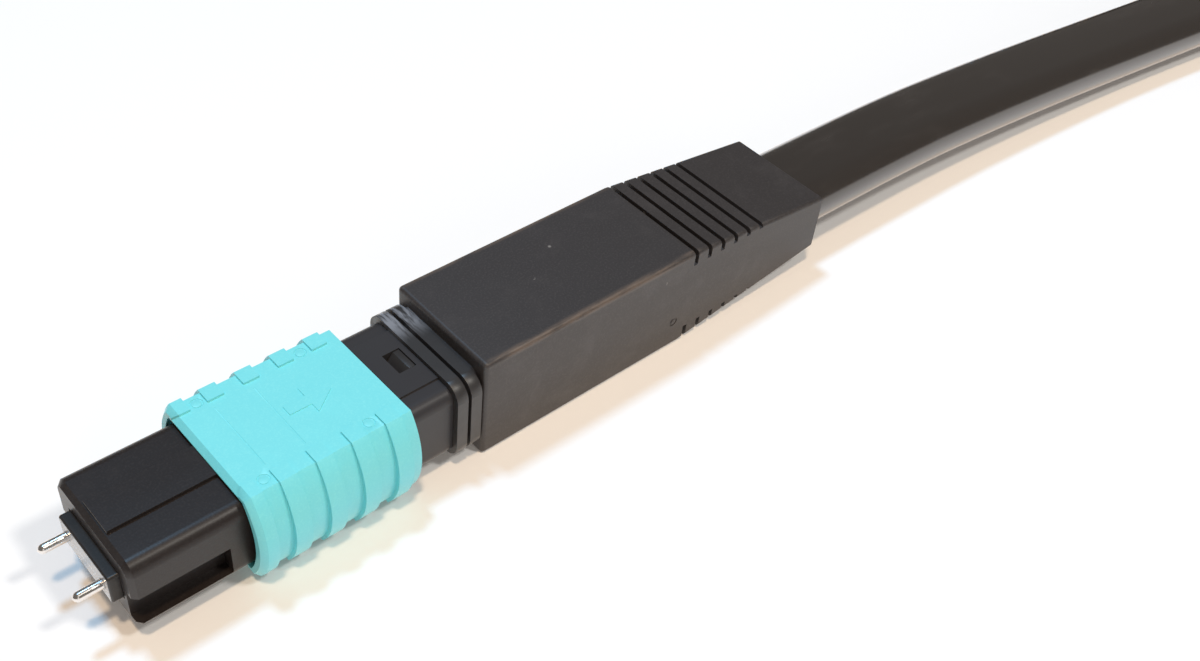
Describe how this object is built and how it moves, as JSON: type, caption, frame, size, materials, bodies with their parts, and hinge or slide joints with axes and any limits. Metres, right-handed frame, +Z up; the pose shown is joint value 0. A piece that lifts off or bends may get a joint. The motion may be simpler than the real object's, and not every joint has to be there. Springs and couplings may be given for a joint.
{
  "type": "mpo fibre connector",
  "caption": "Rectangular multi-fibre push-on connector with guide pins, a sliding ribbed coupling sleeve and a square boot on a flat drop cable pigtail.",
  "frame": {"origin": "middle of the rigid connector (pin tips to boot's rear face) on the surface the boot rests on", "axes": "+X from the ferrule towards the cable, +Z up through the polarity key, +Y to the connector's left seen from the cable"},
  "size_m": [0.2203, 0.0954, 0.0097],
  "materials": {
    "black_plastic": "satin moulded, fine grain",
    "aqua_plastic": "satin moulded",
    "ferrule": "satin glass-filled",
    "steel": "polished",
    "soft_boot": "soft matte",
    "fibre": "coated ribbon",
    "crimp_metal": "plain",
    "rod": "glass-fibre rod",
    "tube": "natural",
    "jacket": "satin extruded",
    "strap": "woven hook-and-loop"
  },
  "bodies": {
    "connector": {"inner_housing": "black_plastic", "rear_body": "black_plastic", "crimp_ring": "crimp_metal", "anchor_upper": "black_plastic", "anchor_lower": "black_plastic", "anchor_band": "crimp_metal", "strength_rod_left": "rod", "strength_rod_right": "rod", "buffer_tube": "tube", "boot": "black_plastic", "main_spring": "steel", "coupling_spring_left": "steel", "coupling_spring_right": "steel", "cable": "jacket", "cable_coil": "jacket", "coil_tie_1": "strap", "coil_tie_2": "strap", "cable_end_cap": "soft_boot"},
    "sleeve": {"coupling_sleeve": "aqua_plastic"},
    "ferrule_group": {"ferrule": "ferrule", "guide_pin_left": "steel", "guide_pin_right": "steel", "pin_clamp": "steel", "ferrule_boot": "soft_boot", "fibre_ribbon": "fibre"}
  },
  "joints": [
    {"name": "sleeve_slide", "type": "slide", "parent": "connector", "child": "sleeve", "axis": [1, 0, 0], "range_m": [0, 0.0023], "stiffness_N_per_m": 600, "springref_m": -0.003, "deforming": ["coupling_spring_left", "coupling_spring_right"]},
    {"name": "ferrule_float", "type": "slide", "parent": "connector", "child": "ferrule_group", "axis": [1, 0, 0], "range_m": [0, 0.0009], "stiffness_N_per_m": 4000, "springref_m": -0.002, "deforming": ["main_spring"]}
  ]
}
